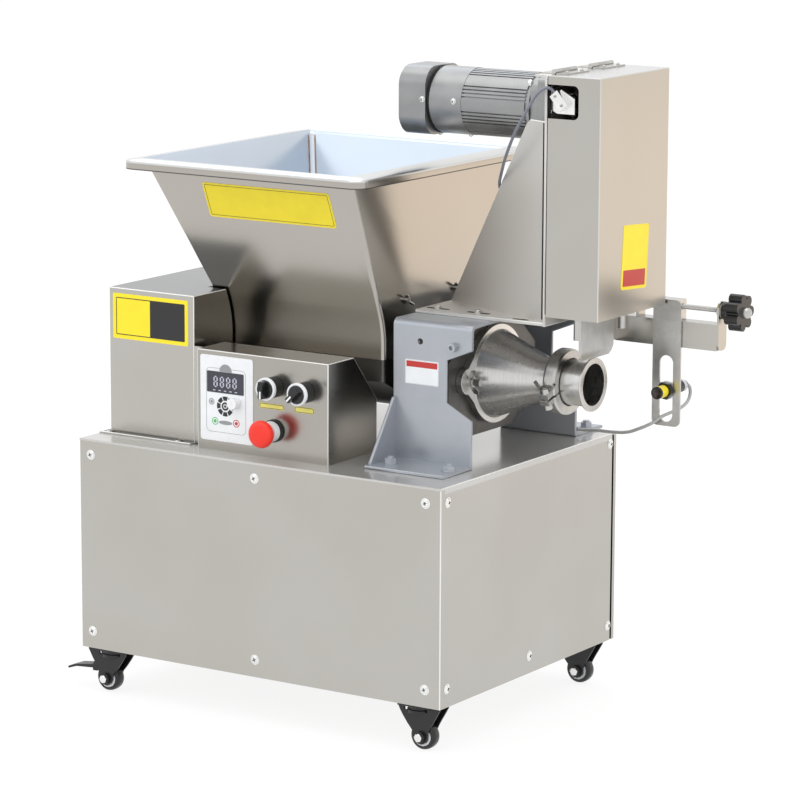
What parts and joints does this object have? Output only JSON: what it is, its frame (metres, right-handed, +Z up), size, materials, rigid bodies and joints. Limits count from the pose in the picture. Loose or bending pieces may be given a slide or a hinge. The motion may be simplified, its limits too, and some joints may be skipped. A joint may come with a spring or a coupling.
{
  "type": "dough divider",
  "caption": "wheeled cabinet with a hopper and auger that pushes dough through a nozzle, and a crank-driven knife under a hinged cover that cuts it to length",
  "frame": {"origin": "on the floor under the middle of the cabinet", "axes": "+X towards the outlet, -Y towards the operator, +Z up"},
  "size_m": [0.935, 0.506, 0.9465],
  "materials": {
    "satin_steel": "satin stainless sheet",
    "bright_steel": "machined stainless, bright",
    "zinc_plate": "bluish zinc-plated plate",
    "motor_paint": "silver-grey satin paint",
    "drive_paint": "blue-grey satin paint",
    "black_plastic": "black, slightly grained",
    "white_plastic": "white, smooth",
    "display_glass": "dark tinted window",
    "red_plastic": "red, semi-gloss",
    "caster_metal": "black coated steel",
    "wheel_rubber": "black tread on a white core",
    "seal_rubber": "black rubber",
    "cord_grey": "light grey cable sheath"
  },
  "bodies": {
    "machine": {"base_frame": "satin_steel", "top_plate": "satin_steel", "front_panel": "satin_steel", "side_panels": "satin_steel", "rear_panel": "satin_steel", "caster_plates": "caster_metal", "reducer": "drive_paint", "main_motor": "drive_paint", "drive_cover": "satin_steel", "shaft_seal": "seal_rubber", "feed_barrel": "bright_steel", "hopper": "satin_steel", "wing_screws": "bright_steel", "cone": "bright_steel", "wing_nuts": "bright_steel", "clamp_gasket": "seal_rubber", "nozzle": "bright_steel", "clamp": "bright_steel", "clamp_bolt": "bright_steel", "support_brackets": "zinc_plate", "bracket_bolts": "bright_steel", "cutter_stand": "satin_steel", "motor_gearbox": "motor_paint", "motor_body": "motor_paint", "motor_fan_cover": "motor_paint", "guide_rods": "bright_steel", "cover_hinges": "bright_steel", "prox_bracket": "bright_steel", "prox_sensor": "bright_steel", "prox_cable": "cord_grey", "control_box": "satin_steel", "keypad": "white_plastic", "display_window": "display_glass", "switch_collars": "black_plastic", "switch_rings": "white_plastic", "sensor_arm": "satin_steel", "sensor_cable": "cord_grey"},
    "auger": {"auger": "bright_steel"},
    "crank": {"crank": "bright_steel"},
    "knife_slide": {"knife_carriage": "bright_steel", "knife": "bright_steel"},
    "cover": {"cutter_cover": "satin_steel"},
    "lead_screw": {"adjusting_screw": "bright_steel", "star_knob": "black_plastic"},
    "sensor_carriage": {"sensor_plate": "bright_steel", "photo_sensor": "black_plastic"},
    "selector_a": {"selector_left": "black_plastic"},
    "selector_b": {"selector_right": "black_plastic"},
    "stop_button": {"estop_head": "red_plastic"},
    "pot": {"pot_knob": "white_plastic"},
    "swivel_fl": {"fork_fl": "caster_metal"},
    "roller_fl": {"wheel_fl": "wheel_rubber"},
    "swivel_fr": {"fork_fr": "caster_metal"},
    "roller_fr": {"wheel_fr": "wheel_rubber"},
    "swivel_rl": {"fork_rl": "caster_metal"},
    "roller_rl": {"wheel_rl": "wheel_rubber"},
    "swivel_rr": {"fork_rr": "caster_metal"},
    "roller_rr": {"wheel_rr": "wheel_rubber"},
    "brake_fl": {"pedal_fl": "caster_metal"},
    "brake_rl": {"pedal_rl": "caster_metal"}
  },
  "joints": [
    {"name": "auger_turn", "type": "hinge", "parent": "machine", "child": "auger", "pos_m": [0, 0.04, 0.493], "axis": [1, 0, 0], "continuous": true},
    {"name": "crank_turn", "type": "hinge", "parent": "machine", "child": "crank", "pos_m": [0.37, 0.04, 0.884], "axis": [1, 0, 0], "range_deg": [0, 180]},
    {"name": "knife_stroke", "type": "slide", "parent": "machine", "child": "knife_slide", "axis": [0, 0, 1], "range_m": [-0.072, 0]},
    {"name": "cover_open", "type": "hinge", "parent": "machine", "child": "cover", "pos_m": [0.371, 0.04, 0.943], "axis": [0, -1, 0], "range_deg": [0, 100]},
    {"name": "screw_turn", "type": "hinge", "parent": "machine", "child": "lead_screw", "pos_m": [0, 0.155, 0.5975], "axis": [1, 0, 0], "range_deg": [-360, 1800]},
    {"name": "plate_travel", "type": "slide", "parent": "machine", "child": "sensor_carriage", "axis": [1, 0, 0], "range_m": [-0.008, 0.04], "deforming": ["sensor_cable"]},
    {"name": "selector_a_turn", "type": "hinge", "parent": "machine", "child": "selector_a", "pos_m": [0.007, -0.194, 0.485], "axis": [0, 1, 0], "range_deg": [-45, 45]},
    {"name": "selector_b_turn", "type": "hinge", "parent": "machine", "child": "selector_b", "pos_m": [0.061, -0.194, 0.483], "axis": [0, 1, 0], "range_deg": [-90, 0]},
    {"name": "stop_push", "type": "slide", "parent": "machine", "child": "stop_button", "axis": [0, 1, 0], "range_m": [0, 0.005], "stiffness_N_per_m": 1500},
    {"name": "pot_turn", "type": "hinge", "parent": "machine", "child": "pot", "pos_m": [-0.06, -0.194, 0.4545], "axis": [0, 1, 0], "range_deg": [-150, 150]},
    {"name": "swivel_fl_turn", "type": "hinge", "parent": "machine", "child": "swivel_fl", "pos_m": [-0.27, -0.214, 0.056], "axis": [0, 0, 1], "continuous": true},
    {"name": "roller_fl_spin", "type": "hinge", "parent": "swivel_fl", "child": "roller_fl", "pos_m": [-0.278, -0.214, 0.02], "axis": [0, 1, 0], "continuous": true},
    {"name": "swivel_fr_turn", "type": "hinge", "parent": "machine", "child": "swivel_fr", "pos_m": [0.27, -0.214, 0.056], "axis": [0, 0, 1], "continuous": true},
    {"name": "roller_fr_spin", "type": "hinge", "parent": "swivel_fr", "child": "roller_fr", "pos_m": [0.278, -0.214, 0.02], "axis": [0, 1, 0], "continuous": true},
    {"name": "swivel_rl_turn", "type": "hinge", "parent": "machine", "child": "swivel_rl", "pos_m": [-0.27, 0.214, 0.056], "axis": [0, 0, 1], "continuous": true},
    {"name": "roller_rl_spin", "type": "hinge", "parent": "swivel_rl", "child": "roller_rl", "pos_m": [-0.278, 0.214, 0.02], "axis": [0, 1, 0], "continuous": true},
    {"name": "swivel_rr_turn", "type": "hinge", "parent": "machine", "child": "swivel_rr", "pos_m": [0.27, 0.214, 0.056], "axis": [0, 0, 1], "continuous": true},
    {"name": "roller_rr_spin", "type": "hinge", "parent": "swivel_rr", "child": "roller_rr", "pos_m": [0.278, 0.214, 0.02], "axis": [0, 1, 0], "continuous": true},
    {"name": "brake_fl_press", "type": "hinge", "parent": "swivel_fl", "child": "brake_fl", "pos_m": [-0.2975, -0.214, 0.034], "axis": [0, -1, 0], "range_deg": [0, 15]},
    {"name": "brake_rl_press", "type": "hinge", "parent": "swivel_rl", "child": "brake_rl", "pos_m": [-0.2975, 0.214, 0.034], "axis": [0, -1, 0], "range_deg": [0, 15]}
  ],
  "couplings": [
    {"joint": "knife_stroke", "follows": "crank_turn", "m_per_rad": -0.022918},
    {"joint": "screw_turn", "follows": "plate_travel", "rad_per_m": 785.4}
  ]
}
